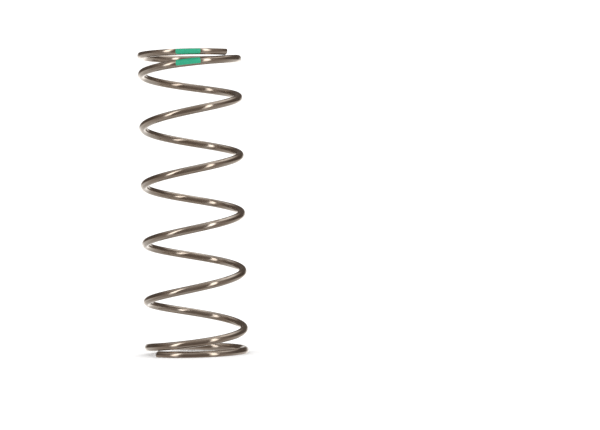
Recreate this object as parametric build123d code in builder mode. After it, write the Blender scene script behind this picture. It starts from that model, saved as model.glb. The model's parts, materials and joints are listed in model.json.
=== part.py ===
from build123d import *
import os
from math import ceil, cos, floor, pi, radians, sin

# A right-hand helical compression spring with closed and ground ends.
# It stands on its lower ground face, with +Z along the coil axis and the origin where the axis meets that face.
# The -Y side is the front. Lengths are millimetres. A position along the wire is counted in turns from the lower tip.

# Driving dimensions
WIRE_DIAMETER = 2.3
MEAN_COIL_DIAMETER = 28.7
FREE_LENGTH = 90.0
TOTAL_TURNS = 7.27
TIP_THICKNESS = 1.8           # what grinding leaves of the wire at each tip
TIP_GAP = 0.04                # between a tip and the coil that it closes on
CLOSING_EXPONENT = 3          # how late in the closed turn the wire lifts off the ground face
LOWER_TRANSITION = 0.5        # turns from the closed turn to the full pitch, at each end
UPPER_TRANSITION = 0.87
END_COIL_TURNS = 1.2          # turns of each end that act as one rigid ring
MARK_AZIMUTH = -89            # paint marks: the side they face, their length along the wire, film thickness
MARK_ARC_LENGTH = 7.1
MARK_THICKNESS = 0.04
MARK_CLEARANCE = 0.002        # keeps the paint film from sharing volume with the wire
POINTS_PER_TURN = 36

# Worked out from the driving dimensions
coil_radius = MEAN_COIL_DIAMETER / 2
wire_radius = WIRE_DIAMETER / 2
tip_height = TIP_THICKNESS - wire_radius
closed_rise = WIRE_DIAMETER + TIP_GAP
closed_pitch = CLOSING_EXPONENT * closed_rise
active_turns = TOTAL_TURNS - 2 - LOWER_TRANSITION - UPPER_TRANSITION
both_transitions = LOWER_TRANSITION + UPPER_TRANSITION
open_length = FREE_LENGTH - 2 * (tip_height + closed_rise) - closed_pitch * both_transitions / 2
active_pitch = open_length / (active_turns + both_transitions / 2)
lower_tip_angle = -90 - 180 * (TOTAL_TURNS % 1)
mark_turns = MARK_ARC_LENGTH / (pi * MEAN_COIL_DIAMETER)
upper_junction = TOTAL_TURNS - END_COIL_TURNS


def pitch_from_tip(turns, transition):
    """Rise per turn, the given turns from a tip: it grows over the closed turn and the transition."""
    if turns < 1:
        return closed_pitch * turns ** (CLOSING_EXPONENT - 1)
    return closed_pitch + (active_pitch - closed_pitch) * min((turns - 1) / transition, 1)


def rise_from_tip(turns, transition):
    """Height gained by the wire's centre over the given turns from a tip: the sum of the pitch so far."""
    closing = closed_rise * min(turns, 1) ** CLOSING_EXPONENT
    in_transition = min(max(turns - 1, 0), transition)
    opening = in_transition * (closed_pitch + pitch_from_tip(turns, transition)) / 2
    return closing + opening + active_pitch * max(turns - 1 - transition, 0)


def wire_point(turns):
    """Centre of the wire."""
    angle = radians(lower_tip_angle + 360 * turns)
    if turns < TOTAL_TURNS / 2:
        height = tip_height + rise_from_tip(turns, LOWER_TRANSITION)
    else:
        height = FREE_LENGTH - tip_height - rise_from_tip(TOTAL_TURNS - turns, UPPER_TRANSITION)
    return Vector(coil_radius * cos(angle), coil_radius * sin(angle), height)


def wire_direction(turns):
    """Unit vector along the wire, upwards."""
    angle = radians(lower_tip_angle + 360 * turns)
    if turns < TOTAL_TURNS / 2:
        pitch = pitch_from_tip(turns, LOWER_TRANSITION)
    else:
        pitch = pitch_from_tip(TOTAL_TURNS - turns, UPPER_TRANSITION)
    circumference = 2 * pi * coil_radius
    return Vector(-circumference * sin(angle), circumference * cos(angle), pitch).normalized()


def wire_points(start, end):
    steps = ceil((end - start) * POINTS_PER_TURN)
    return [wire_point(start + (end - start) * i / steps) for i in range(steps + 1)]


def section_plane(turns):
    """Plane across the wire, with its x axis pointing away from the coil axis."""
    centre = wire_point(turns)
    return Plane(origin=centre, x_dir=(centre.X, centre.Y, 0), z_dir=wire_direction(turns))


# Lower end coil: closed on the coil above it and ground flat underneath
with BuildPart() as lower_end_coil:
    with BuildLine():
        Spline(wire_points(0, END_COIL_TURNS))
    with BuildSketch(section_plane(0)):
        Circle(wire_radius)
    sweep(is_frenet=True)
    split(bisect_by=Plane.XY, keep=Keep.TOP)

# Active coils: the free wire between the two end coils
with BuildPart() as active_coils:
    with BuildLine():
        Spline(wire_points(END_COIL_TURNS, upper_junction))
    with BuildSketch(section_plane(END_COIL_TURNS)):
        Circle(wire_radius)
    sweep(is_frenet=True)

# Upper end coil: the same closed turn the other way up, ground flat on top
with BuildPart() as upper_end_coil:
    with BuildLine():
        Spline(wire_points(upper_junction, TOTAL_TURNS))
    with BuildSketch(section_plane(upper_junction)):
        Circle(wire_radius)
    sweep(is_frenet=True)
    split(bisect_by=Plane.XY.offset(FREE_LENGTH), keep=Keep.BOTTOM)


def paint_mark(centre):
    """Paint film on the outward half of the wire, centred the given turns up the wire."""
    start = centre - mark_turns / 2
    end = centre + mark_turns / 2
    film_inside = wire_radius + MARK_CLEARANCE
    film_outside = film_inside + MARK_THICKNESS
    with BuildPart() as mark:
        with BuildLine():
            Spline(wire_points(start, end))
        with BuildSketch(section_plane(start)):
            Circle(film_outside)
            Circle(film_inside, mode=Mode.SUBTRACT)
            with Locations((-film_outside, 0)):
                Rectangle(2 * film_outside, 2 * film_outside, mode=Mode.SUBTRACT)
        sweep(is_frenet=True)
        split(bisect_by=Plane.XY.offset(FREE_LENGTH), keep=Keep.BOTTOM)
    return mark


# Both marks face the front, on the last two passes of the wire below the upper tip
last_front_pass = floor(TOTAL_TURNS) + (MARK_AZIMUTH - lower_tip_angle) / 360
upper_rate_mark = paint_mark(last_front_pass)
lower_rate_mark = paint_mark(last_front_pass - 1)

lower_end_coil.part.label = "lower_end_coil"
active_coils.part.label = "active_coils"
upper_end_coil.part.label = "upper_end_coil"
upper_rate_mark.part.label = "upper_rate_mark"
lower_rate_mark.part.label = "lower_rate_mark"

os.makedirs("parts", exist_ok=True)
export_step(lower_end_coil.part, "parts/lower_end_coil.step")
export_step(active_coils.part, "parts/active_coils.step")
export_step(upper_end_coil.part, "parts/upper_end_coil.step")
export_step(upper_rate_mark.part, "parts/upper_rate_mark.step")
export_step(lower_rate_mark.part, "parts/lower_rate_mark.step")
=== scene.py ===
import json
from math import acos, ceil, cos, pi, radians, sin, sqrt

import bpy
from mathutils import Matrix, Vector


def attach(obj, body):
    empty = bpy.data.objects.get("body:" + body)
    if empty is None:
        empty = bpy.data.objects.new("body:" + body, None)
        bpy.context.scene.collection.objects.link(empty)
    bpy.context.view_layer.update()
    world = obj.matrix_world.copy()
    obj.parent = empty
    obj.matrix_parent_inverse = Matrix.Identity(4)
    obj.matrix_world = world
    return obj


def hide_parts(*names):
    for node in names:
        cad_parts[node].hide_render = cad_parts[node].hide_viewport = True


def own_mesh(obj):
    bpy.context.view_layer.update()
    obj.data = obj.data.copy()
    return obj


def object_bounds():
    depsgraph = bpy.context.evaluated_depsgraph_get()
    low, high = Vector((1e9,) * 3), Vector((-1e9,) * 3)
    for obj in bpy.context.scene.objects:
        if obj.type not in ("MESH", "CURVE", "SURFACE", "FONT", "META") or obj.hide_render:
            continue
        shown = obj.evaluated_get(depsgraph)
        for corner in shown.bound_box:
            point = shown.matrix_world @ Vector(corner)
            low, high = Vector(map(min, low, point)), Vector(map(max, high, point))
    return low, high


# The looks of a ground-end compression spring. Lengths are metres. A position along the wire is counted in
# turns from the nearer tip. The wire's shape law is the CAD model's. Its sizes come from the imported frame.

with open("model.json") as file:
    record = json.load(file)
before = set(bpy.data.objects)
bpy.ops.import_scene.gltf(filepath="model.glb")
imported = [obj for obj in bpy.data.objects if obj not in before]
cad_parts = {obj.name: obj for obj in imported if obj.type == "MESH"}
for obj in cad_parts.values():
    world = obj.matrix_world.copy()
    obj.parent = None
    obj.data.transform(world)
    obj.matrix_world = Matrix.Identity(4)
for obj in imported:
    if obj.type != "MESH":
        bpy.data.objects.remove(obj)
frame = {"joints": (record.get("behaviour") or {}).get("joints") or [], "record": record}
cad_low, cad_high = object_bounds()
MM = 0.001

# Sizes from the frame
passage = next(m for m in frame["record"]["mounts"] if m["name"] == "damper_passage")
compression = frame["joints"][0]
outer_radius = cad_high.x
inner_radius = passage["dims"]["r_mm"] * MM
coil_radius = (outer_radius + inner_radius) / 2
wire_radius = (outer_radius - inner_radius) / 2
free_length = cad_high.z
travel = compression["range_m"][1]

# The CAD model's shape law
TOTAL_TURNS = 7.27
TIP_THICKNESS = 1.8 * MM
TIP_GAP = 0.04 * MM
CLOSING_EXPONENT = 3
LOWER_TRANSITION = 0.5
UPPER_TRANSITION = 0.87
END_COIL_TURNS = 1.2
MARK_AZIMUTH = radians(-89)
MARK_ARC_LENGTH = 7.1 * MM

tip_height = TIP_THICKNESS - wire_radius
closed_rise = 2 * wire_radius + TIP_GAP
closed_pitch = CLOSING_EXPONENT * closed_rise
both_transitions = LOWER_TRANSITION + UPPER_TRANSITION
active_turns = TOTAL_TURNS - 2 - both_transitions
open_length = free_length - 2 * (tip_height + closed_rise) - closed_pitch * both_transitions / 2
active_pitch = open_length / (active_turns + both_transitions / 2)
lower_tip_angle = radians(-90 - 180 * (TOTAL_TURNS % 1))
turn_length = 2 * pi * coil_radius

# How the wire is drawn
RINGS_PER_TURN = 180
ARC_POINTS = 33               # on the round part of a section
FLAT_POINTS = 8               # on its ground part
SECTION_POINTS = ARC_POINTS + FLAT_POINTS
LEAST_FLAT = radians(7)       # half the arc that the flat's points span where the wire isn't ground
EDGE_BREAK = 0.05 * MM
LEAST_BREAK = 0.3             # share of the edge break that is left where the ground face runs out
SETTLE_TURNS = 0.15           # beside each end coil, until the pitch is even, with the coils nearly closed
STEEL, GROUND, SHEARED = range(3)   # order of an end coil's materials

# How the paint is drawn. Angles go around the wire from its outward side, towards the spring's middle.
FILM_CLEARANCE = 0.002 * MM
FILM_THICKNESS = 0.036 * MM
FILM_LENGTH_SHARE = 0.955     # the visible film stops a little short of the CAD model's mark
FILM_STEPS_ALONG = 48
FILM_STEPS_AROUND = 36
FILM_FEATHER = 0.16           # share of the film's length, at each end, over which it thins
FILM_RIM = 0.15               # share of the thickness that is left at the rim
SLOW_WOBBLE = 0.012           # how far the brushed ends wander, as shares of half the mark's length
QUICK_WOBBLE = 0.008
GROUND_MARGIN = 0.1           # radians that the upper film keeps off the ground face
UPPER_FILM_END = radians(48)
LOWER_FILM_START = radians(-88)
LOWER_FILM_END = radians(32)


# ---------------------------------------------------------------- shape law

def pitch_from_tip(turns, transition):
    if turns < 1:
        return closed_pitch * max(turns, 0) ** (CLOSING_EXPONENT - 1)
    return closed_pitch + (active_pitch - closed_pitch) * min((turns - 1) / transition, 1)


def height_from_tip(turns, transition):
    """Height of the wire's centre over the ground face at its own end."""
    closing = closed_rise * min(max(turns, 0), 1) ** CLOSING_EXPONENT
    in_transition = min(max(turns - 1, 0), transition)
    opening = in_transition * (closed_pitch + pitch_from_tip(turns, transition)) / 2
    return tip_height + closing + opening + active_pitch * max(turns - 1 - transition, 0)


def wire_frame(turns, transition):
    """Centre of the wire, its outward and its upward direction, as at the lower end."""
    angle = lower_tip_angle + 2 * pi * turns
    out = Vector((cos(angle), sin(angle), 0))
    centre = out * coil_radius + Vector((0, 0, height_from_tip(turns, transition)))
    slope = pitch_from_tip(turns, transition) / turn_length
    along = Vector((-sin(angle), cos(angle), slope)).normalized()
    return centre, out, out.cross(along)


def turned_over(point):
    """A point of the lower end as it lies at the upper end.

    The ends differ by half a turn about the front-to-back line at mid height."""
    return Vector((-point.x, point.y, free_length - point.z))


# ---------------------------------------------------------------- node and mesh helpers

def node(tree, kind, inputs=None, **settings):
    made = tree.nodes.new(kind)
    for name, value in settings.items():
        setattr(made, name, value)
    for key, value in (inputs or {}).items():
        if isinstance(value, bpy.types.NodeSocket):
            tree.links.new(value, made.inputs[key])
        else:
            made.inputs[key].default_value = value
    return made


def maths(tree, operation, *values):
    made = node(tree, "ShaderNodeMath", dict(enumerate(values)), operation=operation)
    return made.outputs[0]


def ramp(tree, value, low, high, to_low=0.0, to_high=1.0):
    """Smooth step of a value from to_low at low, to to_high at high."""
    inputs = {"Value": value, "From Min": low, "From Max": high, "To Min": to_low, "To Max": to_high}
    return node(tree, "ShaderNodeMapRange", inputs, interpolation_type="SMOOTHSTEP").outputs[0]


def noise(tree, vector, scale, detail=3.0, roughness=0.5):
    inputs = {"Vector": vector, "Scale": scale, "Detail": detail, "Roughness": roughness}
    return node(tree, "ShaderNodeTexNoise", inputs).outputs["Fac"]


def stretched(tree, vector, x, y, z):
    return node(tree, "ShaderNodeVectorMath", {0: vector, 1: (x, y, z)}, operation="MULTIPLY").outputs[0]


def blended(tree, share, first, second):
    """Colour between first and second."""
    inputs = {"Factor": share, "A": first, "B": second}
    return node(tree, "ShaderNodeMix", inputs, data_type="RGBA").outputs["Result"]


def product(tree, first, *others):
    for other in others:
        first = maths(tree, "MULTIPLY", first, other)
    return first


def new_material(name):
    material = bpy.data.materials.new(name)
    material.use_nodes = True
    tree = material.node_tree
    return material, tree, tree.nodes["Principled BSDF"]


def feed(tree, shader, **inputs):
    """Connects or sets inputs of a shader, with underscores for the spaces in their names."""
    for name, value in inputs.items():
        socket = shader.inputs[name.replace("_", " ")]
        if isinstance(value, bpy.types.NodeSocket):
            tree.links.new(value, socket)
        else:
            socket.default_value = value


def bump(tree, height, strength, distance, below=None):
    inputs = {"Height": height, "Strength": strength, "Distance": distance}
    if below is not None:
        inputs["Normal"] = below
    return node(tree, "ShaderNodeBump", inputs).outputs[0]


def mesh_object(name, points, faces, materials):
    mesh = bpy.data.meshes.new(name)
    mesh.from_pydata(points, [], faces)
    for material in materials:
        mesh.materials.append(material)
    made = bpy.data.objects.new(name, mesh)
    bpy.context.scene.collection.objects.link(made)
    return made


def store_vectors(mesh, name, vectors):
    attribute = mesh.attributes.new(name, "FLOAT_VECTOR", "POINT")
    attribute.data.foreach_set("vector", [value for vector in vectors for value in vector])


def store_floats(mesh, name, values):
    mesh.attributes.new(name, "FLOAT", "POINT").data.foreach_set("value", values)


# ---------------------------------------------------------------- materials

def drawn_steel():
    """Bright drawn wire: lengthwise die lines, a warm tint that comes and goes, faint handling marks."""
    material, tree, shader = new_material("drawn_steel")
    place = node(tree, "ShaderNodeAttribute", attribute_name="wire_place").outputs["Vector"]
    die_lines = noise(tree, stretched(tree, place, 45, 5200, 5200), 1.0, 3.0, 0.65)
    broad_lines = noise(tree, stretched(tree, place, 60, 1700, 1700), 1.0, 2.0)
    tint = noise(tree, stretched(tree, place, 140, 420, 420), 1.0, 3.0)
    specks = noise(tree, stretched(tree, place, 2600, 5200, 5200), 1.0, 2.0)

    metal = blended(tree, ramp(tree, tint, 0.35, 0.68), (0.49, 0.415, 0.345, 1), (0.57, 0.51, 0.45, 1))
    dark_lines = ramp(tree, broad_lines, 0.34, 0.52, 0.45, 0.0)
    lined = blended(tree, dark_lines, metal, (0.33, 0.265, 0.215, 1))
    scored = blended(tree, ramp(tree, die_lines, 0.34, 0.5, 0.5, 0.0), lined, (0.27, 0.215, 0.175, 1))
    speck_share = ramp(tree, specks, 0.68, 0.82, 0.0, 0.4)
    colour = blended(tree, speck_share, scored, (0.22, 0.17, 0.13, 1))

    line_gloss = ramp(tree, die_lines, 0.3, 0.7, 0.19, 0.10)
    gloss = maths(tree, "ADD", line_gloss, maths(tree, "MULTIPLY", speck_share, 0.3))
    relief = bump(tree, die_lines, 0.2, 0.004 * MM)
    relief = bump(tree, broad_lines, 0.35, 0.012 * MM, relief)
    feed(tree, shader, Base_Color=colour, Metallic=1.0, Roughness=gloss, Normal=relief)
    return material


def ground_steel():
    """The faces that the grinding wheel left: paler, matt and granular, with passes across them."""
    material, tree, shader = new_material("ground_steel")
    place = node(tree, "ShaderNodeTexCoord").outputs["Object"]
    grains = noise(tree, place, 5200, 3.0, 0.7)
    passes = noise(tree, stretched(tree, place, 380, 4600, 1000), 1.0, 3.0, 0.6)
    clouds = noise(tree, place, 260, 2.0)
    pale = blended(tree, ramp(tree, clouds, 0.35, 0.65), (0.50, 0.46, 0.42, 1), (0.66, 0.62, 0.58, 1))
    grained = blended(tree, ramp(tree, grains, 0.38, 0.56, 0.6, 0.0), pale, (0.26, 0.225, 0.20, 1))
    gloss = ramp(tree, passes, 0.3, 0.7, 0.52, 0.30)
    relief = bump(tree, grains, 0.8, 0.03 * MM)
    relief = bump(tree, passes, 0.6, 0.02 * MM, relief)
    feed(tree, shader, Base_Color=grained, Metallic=1.0, Roughness=gloss, Normal=relief)
    return material


def sheared_steel():
    """The wire's cut ends: half burnished by the cutter, half torn."""
    material, tree, shader = new_material("sheared_steel")
    place = node(tree, "ShaderNodeAttribute", attribute_name="wire_place").outputs["Vector"]
    tears = noise(tree, stretched(tree, place, 1500, 2600, 5200), 1.0, 4.0, 0.7)
    colour = blended(tree, ramp(tree, tears, 0.35, 0.6), (0.30, 0.26, 0.225, 1), (0.58, 0.54, 0.50, 1))
    gloss = ramp(tree, tears, 0.3, 0.7, 0.55, 0.3)
    relief = bump(tree, tears, 0.8, 0.05 * MM)
    feed(tree, shader, Base_Color=colour, Metallic=1.0, Roughness=gloss, Normal=relief)
    return material


def rate_paint():
    """Brushed-on green enamel: a solid satin coat with faint streaks across the wire."""
    material, tree, shader = new_material("rate_paint")
    place = node(tree, "ShaderNodeAttribute", attribute_name="wire_place").outputs["Vector"]
    streaks = noise(tree, stretched(tree, place, 1700, 420, 420), 1.0, 3.0, 0.6)
    mottle = noise(tree, stretched(tree, place, 620, 620, 620), 1.0, 2.0)
    mottle_share = ramp(tree, mottle, 0.3, 0.7)
    coat = blended(tree, mottle_share, (0.009, 0.335, 0.186, 1), (0.014, 0.368, 0.206, 1))
    colour = blended(tree, ramp(tree, streaks, 0.3, 0.45, 0.3, 0.0), coat, (0.006, 0.262, 0.145, 1))
    gloss = ramp(tree, mottle, 0.3, 0.7, 0.5, 0.4)
    relief = bump(tree, streaks, 0.25, 0.01 * MM)
    feed(tree, shader, Base_Color=colour, Roughness=gloss, Normal=relief)
    return material


# ---------------------------------------------------------------- wire pieces

def ground_outline(height):
    """Section of the wire as (out, up) points about its centre, cut flat where the ground plane meets it.

    The round part comes first, then the flat. Where the wire clears the plane, the flat's points lie on the
    round."""
    cut = sqrt(max(wire_radius ** 2 - height ** 2, 0)) / wire_radius
    half = max(acos(min(height / wire_radius, 1)), LEAST_FLAT)
    edge = EDGE_BREAK * (LEAST_BREAK + (1 - LEAST_BREAK) * cut)
    first = -pi / 2 + half + edge / wire_radius
    last = 3 * pi / 2 - half - edge / wire_radius
    outline = []
    for i in range(ARC_POINTS):
        angle = first + (last - first) * i / (ARC_POINTS - 1)
        outline.append((wire_radius * cos(angle), wire_radius * sin(angle)))
    reach = wire_radius * sin(half) - edge
    for i in range(FLAT_POINTS):
        out = reach * (2 * i / (FLAT_POINTS - 1) - 1)
        outline.append((out, max(-height, -sqrt(wire_radius ** 2 - out ** 2))))
    return outline


def end_wire(name, transition, turn_over):
    """An end coil: the closed turn with its ground face, up to where the active coils start."""
    steps = ceil(END_COIL_TURNS * RINGS_PER_TURN)
    stations = [0.0, EDGE_BREAK / turn_length]
    stations += [END_COIL_TURNS * i / steps for i in range(1, steps + 1)]
    points, places, cut_rings = [], [], []
    for number, turns in enumerate(stations):
        centre, out, up = wire_frame(turns, transition)
        shrink = 1 - EDGE_BREAK / wire_radius if number == 0 else 1
        for x, y in ground_outline(centre.z / up.z):
            point = centre + (out * x + up * y) * shrink
            points.append(turned_over(point) if turn_over else point)
            places.append((turns * turn_length, x, y))
        cut_rings.append(centre.z < wire_radius * up.z)
    faces, zones = end_faces(len(stations), cut_rings)
    made = mesh_object(name, points, faces, [steel, ground, sheared])
    mesh = made.data
    mesh.polygons.foreach_set("material_index", zones)
    mesh.polygons.foreach_set("use_smooth", [True] * len(faces))
    store_vectors(mesh, "wire_place", places)
    sharpen(mesh, len(stations), cut_rings)
    return made


def end_faces(rings, cut_rings):
    """Faces between the rings and over both ends, and the material of each."""
    faces, zones = [], []
    for ring in range(rings - 1):
        here = ring * SECTION_POINTS
        ahead = here + SECTION_POINTS
        for i in range(SECTION_POINTS):
            after = (i + 1) % SECTION_POINTS
            faces.append([ahead + i, ahead + after, here + after, here + i])
            on_flat = ARC_POINTS <= i < SECTION_POINTS - 1
            zones.append(GROUND if on_flat and cut_rings[ring] else STEEL)
    first_ring = list(range(SECTION_POINTS))
    last_ring = [(rings - 1) * SECTION_POINTS + i for i in range(SECTION_POINTS)]
    faces += [first_ring, last_ring[::-1]]
    zones += [SHEARED, STEEL]
    return faces, zones


def sharpen(mesh, rings, cut_rings):
    """Keeps the edges of the ground face, of its edge break and of both ends crisp."""
    flat_columns = {ARC_POINTS - 1, ARC_POINTS, SECTION_POINTS - 1, 0}
    last_ring = (rings - 1) * SECTION_POINTS
    for edge in mesh.edges:
        a, b = edge.vertices
        column = a % SECTION_POINTS
        same_column = column == b % SECTION_POINTS
        is_cut = cut_rings[min(a, b) // SECTION_POINTS]
        along_flat = same_column and column in flat_columns and is_cut
        round_tip = max(a, b) < 2 * SECTION_POINTS and not same_column
        round_junction = min(a, b) >= last_ring
        edge.use_edge_sharp = along_flat or round_tip or round_junction


def solid_heights(stations, low, high):
    """Heights of the active wire's centre with the coils nearly closed.

    The pitch falls from each end coil's own pitch to an even, small one."""
    low_pitch = pitch_from_tip(END_COIL_TURNS, LOWER_TRANSITION)
    high_pitch = pitch_from_tip(END_COIL_TURNS, UPPER_TRANSITION)
    turns = stations[-1]
    settling_rise = (low_pitch + high_pitch) * SETTLE_TURNS / 2
    bound_pitch = (high - travel - low - settling_rise) / (turns - SETTLE_TURNS)

    def gain(distance, end_pitch):
        share = min(distance / SETTLE_TURNS, 1)
        return (end_pitch - bound_pitch) * SETTLE_TURNS * (share - share ** 2 / 2)

    whole_gain = (high_pitch - bound_pitch) * SETTLE_TURNS / 2
    heights = []
    for t in stations:
        from_low = low + bound_pitch * t + gain(t, low_pitch)
        heights.append(from_low + whole_gain - gain(turns - t, high_pitch))
    return heights


def active_centreline():
    """The active wire's centreline as a bare chain of edges, with what the tube needs at each point."""
    turns = TOTAL_TURNS - 2 * END_COIL_TURNS
    steps = ceil(turns * RINGS_PER_TURN)
    stations = [turns * i / steps for i in range(steps + 1)]
    points = []
    for t in stations:
        from_low = END_COIL_TURNS + t
        angle = lower_tip_angle + 2 * pi * from_low
        if from_low < TOTAL_TURNS / 2:
            height = height_from_tip(from_low, LOWER_TRANSITION)
        else:
            height = free_length - height_from_tip(TOTAL_TURNS - from_low, UPPER_TRANSITION)
        points.append(Vector((coil_radius * cos(angle), coil_radius * sin(angle), height)))
    mesh = bpy.data.meshes.new("active_wire")
    mesh.from_pydata(points, [(i, i + 1) for i in range(steps)], [])
    store_floats(mesh, "rest_height", [p.z for p in points])
    store_floats(mesh, "solid_height", solid_heights(stations, points[0].z, points[-1].z))
    store_floats(mesh, "along", [(END_COIL_TURNS + t) * turn_length for t in stations])
    made = bpy.data.objects.new("active_wire", mesh)
    bpy.context.scene.collection.objects.link(made)
    return made


def tube_nodes():
    """Geometry nodes that turn the centreline into round wire at every pose.

    How far the top point has moved gives the share of the travel. The points are set between their rest
    heights and their heights with the coils nearly closed, so the wire leaves both end coils without a kink.
    The section is drawn after that, so it stays round."""
    tree = bpy.data.node_groups.new("round_wire", "GeometryNodeTree")
    tree.interface.new_socket("Geometry", in_out="INPUT", socket_type="NodeSocketGeometry")
    tree.interface.new_socket("Geometry", in_out="OUTPUT", socket_type="NodeSocketGeometry")
    start = node(tree, "NodeGroupInput").outputs[0]

    def stored(name):
        return node(tree, "GeometryNodeInputNamedAttribute", {"Name": name}).outputs["Attribute"]

    rest = stored("rest_height")
    now = node(tree, "ShaderNodeSeparateXYZ", {0: node(tree, "GeometryNodeInputPosition").outputs[0]})
    fallen = maths(tree, "SUBTRACT", rest, now.outputs["Z"])
    fallen_inputs = {"Geometry": start, "Attribute": fallen}
    most = node(tree, "GeometryNodeAttributeStatistic", fallen_inputs).outputs["Max"]
    share = maths(tree, "DIVIDE", most, travel)
    gap = maths(tree, "SUBTRACT", stored("solid_height"), rest)
    height = maths(tree, "MULTIPLY_ADD", gap, share, rest)
    place_inputs = {"X": now.outputs["X"], "Y": now.outputs["Y"], "Z": height}
    place = node(tree, "ShaderNodeCombineXYZ", place_inputs).outputs[0]
    shaped = node(tree, "GeometryNodeSetPosition", {"Geometry": start, "Position": place}).outputs[0]

    rail = node(tree, "GeometryNodeMeshToCurve", {"Mesh": shaped}).outputs[0]
    rail = node(tree, "GeometryNodeSetCurveNormal", {"Curve": rail}, mode="Z_UP").outputs[0]
    circle_inputs = {"Resolution": SECTION_POINTS, "Radius": wire_radius}
    circle = node(tree, "GeometryNodeCurvePrimitiveCircle", circle_inputs).outputs[0]
    profile_place = node(tree, "GeometryNodeInputPosition").outputs[0]
    circle = store(tree, circle, "profile_place", profile_place)
    tube_inputs = {"Curve": rail, "Profile Curve": circle, "Fill Caps": True}
    tube = node(tree, "GeometryNodeCurveToMesh", tube_inputs).outputs[0]
    profile = node(tree, "ShaderNodeSeparateXYZ", {0: stored_vector(tree, "profile_place")})
    wire_inputs = {"X": stored("along"), "Y": profile.outputs["X"], "Z": profile.outputs["Y"]}
    wire_place = node(tree, "ShaderNodeCombineXYZ", wire_inputs).outputs[0]
    tube = store(tree, tube, "wire_place", wire_place)
    tube = node(tree, "GeometryNodeSetMaterial", {"Geometry": tube, "Material": steel}).outputs[0]
    tree.links.new(tube, node(tree, "NodeGroupOutput").inputs[0])
    return tree


def stored_vector(tree, name):
    kind = "GeometryNodeInputNamedAttribute"
    return node(tree, kind, {"Name": name}, data_type="FLOAT_VECTOR").outputs["Attribute"]


def store(tree, geometry, name, vector):
    kind = "GeometryNodeStoreNamedAttribute"
    inputs = {"Geometry": geometry, "Name": name, "Value": vector}
    return node(tree, kind, inputs, data_type="FLOAT_VECTOR", domain="POINT").outputs[0]


def active_wire():
    made = active_centreline()
    made.data.materials.append(steel)
    modifier = made.modifiers.new("round_wire", "NODES")
    modifier.node_group = tube_nodes()
    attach(made, "lower_end")
    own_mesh(made)
    return made


# ---------------------------------------------------------------- paint

def paint_film(name, centre_turns, first_angle, last_angle):
    """A painted-on patch on the outward side of the upper end coil, feathered and uneven at its rim."""
    half_turns = MARK_ARC_LENGTH / turn_length / 2

    def grid_point(i, j, height):
        angle = first_angle + (last_angle - first_angle) * j / FILM_STEPS_AROUND
        wobble = SLOW_WOBBLE * sin(4 * angle + 2 * centre_turns) + QUICK_WOBBLE * sin(11 * angle + 1)
        side = 2 * i / FILM_STEPS_ALONG - 1
        turns = centre_turns + half_turns * side * (FILM_LENGTH_SHARE + wobble)
        centre, out, up = wire_frame(turns, UPPER_TRANSITION)
        radius = wire_radius + height
        place = (turns * turn_length, radius * cos(angle), radius * sin(angle))
        return turned_over(centre + (out * cos(angle) + up * sin(angle)) * radius), place

    points, places = [], []
    for is_outer in (False, True):
        for i in range(FILM_STEPS_ALONG + 1):
            for j in range(FILM_STEPS_AROUND + 1):
                height = film_height(i, j) if is_outer else FILM_CLEARANCE
                point, place = grid_point(i, j, height)
                points.append(point)
                places.append(place)
    faces = film_faces()
    made = mesh_object(name, points, faces, [paint])
    made.data.polygons.foreach_set("use_smooth", [True] * len(faces))
    store_vectors(made.data, "wire_place", places)
    return made


def film_height(i, j):
    """Height of the film's outer side over the wire. It thins towards the rim."""
    from_end = min(i, FILM_STEPS_ALONG - i) / FILM_STEPS_ALONG
    from_side = min(j, FILM_STEPS_AROUND - j) / FILM_STEPS_AROUND
    share = min(1, from_end / FILM_FEATHER) * min(1, from_side / (FILM_FEATHER / 2))
    return FILM_CLEARANCE + FILM_THICKNESS * (FILM_RIM + (1 - FILM_RIM) * sin(share * pi / 2))


def film_faces():
    """A closed shell over the inner and the outer layer of grid points."""
    row = FILM_STEPS_AROUND + 1
    outer = row * (FILM_STEPS_ALONG + 1)
    faces = []
    for i in range(FILM_STEPS_ALONG):
        for j in range(FILM_STEPS_AROUND):
            here = i * row + j
            square = [here, here + 1, here + row + 1, here + row]
            faces.append(square)
            faces.append([outer + corner for corner in reversed(square)])
    rim = [i * row for i in range(FILM_STEPS_ALONG)]
    rim += [FILM_STEPS_ALONG * row + j for j in range(FILM_STEPS_AROUND)]
    rim += [i * row + FILM_STEPS_AROUND for i in range(FILM_STEPS_ALONG, 0, -1)]
    rim += list(range(FILM_STEPS_AROUND, 0, -1))
    for a, b in zip(rim, rim[1:] + rim[:1]):
        faces.append([a, b, outer + b, outer + a])
    return faces


# ---------------------------------------------------------------- studio

def studio_world():
    """Plain white surroundings that light the floor and the paint. Only the metal mirrors the studio."""
    world = bpy.data.worlds.new("studio")
    bpy.context.scene.world = world
    world.use_nodes = True
    tree = world.node_tree
    light = studio_light(tree)
    colour = blended(tree, ramp(tree, light, 0.1, 0.7), (1, 0.82, 0.70, 1), (1, 0.985, 0.965, 1))
    mirrored = node(tree, "ShaderNodeBackground", {"Color": colour, "Strength": light}).outputs[0]
    white = node(tree, "ShaderNodeBackground", {"Color": (1, 1, 1, 1), "Strength": 1.3}).outputs[0]
    by_metal = node(tree, "ShaderNodeLightPath").outputs["Is Glossy Ray"]
    surface = node(tree, "ShaderNodeMixShader", {0: by_metal, 1: white, 2: mirrored}).outputs[0]
    tree.links.new(surface, tree.nodes["World Output"].inputs["Surface"])


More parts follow.
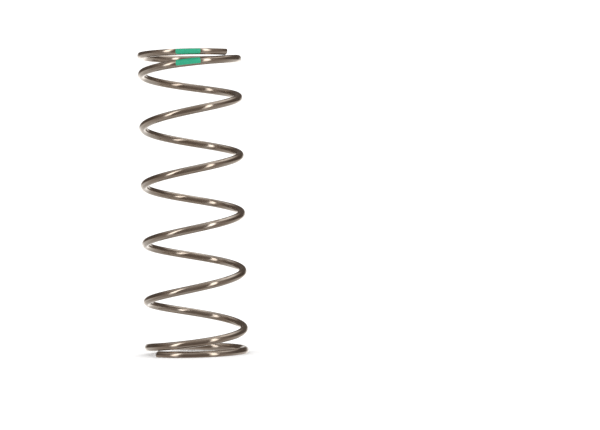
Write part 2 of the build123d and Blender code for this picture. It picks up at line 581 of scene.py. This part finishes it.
def studio_light(tree):
    """Brightness of the mirrored studio, which turns with the camera.

    It has two tall lamps, a dim front, dark sides, a pale ceiling and table, and a bright strip behind.
    Angles are degrees: azimuth to the right of the line back to the camera, and elevation upwards."""
    direction = node(tree, "ShaderNodeTexCoord").outputs["Camera"]
    unit = node(tree, "ShaderNodeVectorMath", {0: direction}, operation="NORMALIZE").outputs[0]
    axes = node(tree, "ShaderNodeSeparateXYZ", {0: unit})
    to_camera = maths(tree, "MULTIPLY", axes.outputs["Z"], -1.0)
    azimuth = maths(tree, "DEGREES", maths(tree, "ARCTAN2", axes.outputs["X"], to_camera))
    elevation = maths(tree, "DEGREES", maths(tree, "ARCSINE", axes.outputs["Y"]))
    aside = maths(tree, "ABSOLUTE", azimuth)

    front = product(
        tree,
        ramp(tree, elevation, 45.0, 0.0, 0.0, -0.12),
        ramp(tree, elevation, -60.0, -45.0),
        ramp(tree, aside, 55.0, 25.0),
    )
    sides = product(
        tree,
        ramp(tree, elevation, -12.0, 2.0, 0.0, -0.17),
        ramp(tree, elevation, 46.0, 30.0),
        ramp(tree, aside, 60.0, 105.0),
    )
    ceiling = product(
        tree,
        ramp(tree, elevation, 34.0, 60.0),
        ramp(tree, to_camera, 0.6, -0.2, 0.2, 1.0),
        ramp(tree, azimuth, -30.0, 100.0, 0.42, 0.95),
    )
    table = product(
        tree,
        ramp(tree, elevation, 2.0, -14.0),
        ramp(tree, elevation, -62.0, -16.0),
        ramp(tree, aside, 50.0, 170.0, 0.04, 0.56),
    )
    strip_behind = product(
        tree,
        ramp(tree, elevation, 16.0, 2.0),
        ramp(tree, elevation, -26.0, -8.0),
        ramp(tree, aside, 142.0, 164.0, 0.0, 0.9),
    )
    near_table = product(
        tree,
        ramp(tree, elevation, -34.0, -50.0, 0.0, 0.1),
        ramp(tree, elevation, -74.0, -58.0),
    )
    below = ramp(tree, elevation, -30.0, -74.0, 0.0, 0.2)
    left_lamp = lamp(tree, azimuth, elevation, -48.0)
    right_lamp = lamp(tree, azimuth, elevation, 42.0)

    walls = 0.29
    light = walls
    for part in (front, sides, ceiling, table, strip_behind, near_table, below, left_lamp, right_lamp):
        light = maths(tree, "ADD", light, part)
    return light


def lamp(tree, azimuth, elevation, centre):
    """A tall soft lamp, and its dimmer image in the table below it."""
    offset = maths(tree, "ABSOLUTE", maths(tree, "SUBTRACT", azimuth, centre))
    direct = product(
        tree,
        ramp(tree, elevation, -6.0, 2.0, 0.0, 2.6),
        ramp(tree, elevation, 58.0, 42.0),
    )
    in_table = product(
        tree,
        ramp(tree, elevation, -36.0, -24.0, 0.0, 0.75),
        ramp(tree, elevation, 10.0, 0.0),
    )
    return product(tree, maths(tree, "ADD", direct, in_table), ramp(tree, offset, 10.8, 4.2))


def floor_material():
    """A white table top that fades into the white background a little way from the spring."""
    material, tree, shader = new_material("floor_white")
    feed(tree, shader, Base_Color=(0.97, 0.97, 0.97, 1), Roughness=0.8)
    place = node(tree, "ShaderNodeTexCoord").outputs["Object"]
    distance = node(tree, "ShaderNodeVectorMath", {0: place}, operation="LENGTH").outputs["Value"]
    fade_start = 2.2 * coil_radius
    fade_end = 4.0 * coil_radius
    fade = ramp(tree, distance, fade_start, fade_end)
    clear = node(tree, "ShaderNodeBsdfTransparent").outputs[0]
    surface = node(tree, "ShaderNodeMixShader", {0: fade, 1: shader.outputs[0], 2: clear}).outputs[0]
    tree.links.new(surface, tree.nodes["Material Output"].inputs["Surface"])
    return material


def floor():
    """The metal doesn't mirror the floor itself: the studio's table and light from below stand for it."""
    reach = 4.5 * coil_radius
    corners = [(-reach, -reach, 0), (reach, -reach, 0), (reach, reach, 0), (-reach, reach, 0)]
    made = mesh_object("floor", corners, [(0, 1, 2, 3)], [floor_material()])
    made.visible_glossy = False


def camera():
    """A long lens level with the spring's middle and a little right of its front.

    It looks past the spring, which stands left in the frame."""
    distance = 41.84 * coil_radius
    height = 0.499 * free_length
    side = radians(2.4)
    yaw = 0.053               # radians, as are the next two
    pitch = -0.0071
    roll = -0.0246
    ahead = Vector((sin(yaw), cos(yaw), 0))
    right = Vector((cos(yaw), -sin(yaw), 0))
    forward = ahead * cos(pitch) + Vector((0, 0, sin(pitch)))
    level_up = Vector((0, 0, cos(pitch))) - ahead * sin(pitch)
    tilted_right = right * cos(roll) + level_up * sin(roll)
    tilted_up = level_up * cos(roll) - right * sin(roll)
    data = bpy.data.cameras.new("camera")
    data.lens = 120.6
    data.clip_start = 0.01
    made = bpy.data.objects.new("camera", data)
    turn = Matrix((tilted_right, tilted_up, -forward)).transposed()
    placed = Matrix.Translation((0, -distance, height)) @ turn.to_4x4()
    made.matrix_world = Matrix.Rotation(side, 4, "Z") @ placed
    bpy.context.scene.collection.objects.link(made)
    bpy.context.scene.camera = made


# ---------------------------------------------------------------- the scene

steel = drawn_steel()
ground = ground_steel()
sheared = sheared_steel()
paint = rate_paint()

lower_end = end_wire("lower_end_wire", LOWER_TRANSITION, turn_over=False)
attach(lower_end, "lower_end")
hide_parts("lower_end_coil")

active = active_wire()
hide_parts("active_coils")

upper_end = end_wire("upper_end_wire", UPPER_TRANSITION, turn_over=True)
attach(upper_end, "upper_end")
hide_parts("upper_end_coil")

upper_tip_angle = -pi - lower_tip_angle
mark_turns = (upper_tip_angle - MARK_AZIMUTH) / (2 * pi)
ground_edge = -pi / 2 + acos(height_from_tip(mark_turns, UPPER_TRANSITION) / wire_radius)
upper_film_start = ground_edge + GROUND_MARGIN
upper_paint = paint_film("upper_rate_paint", mark_turns, upper_film_start, UPPER_FILM_END)
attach(upper_paint, "upper_end")
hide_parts("upper_rate_mark")
lower_paint = paint_film("lower_rate_paint", mark_turns + 1, LOWER_FILM_START, LOWER_FILM_END)
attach(lower_paint, "upper_end")
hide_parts("lower_rate_mark")

floor()
studio_world()
camera()
bpy.context.scene.view_settings.view_transform = "Standard"
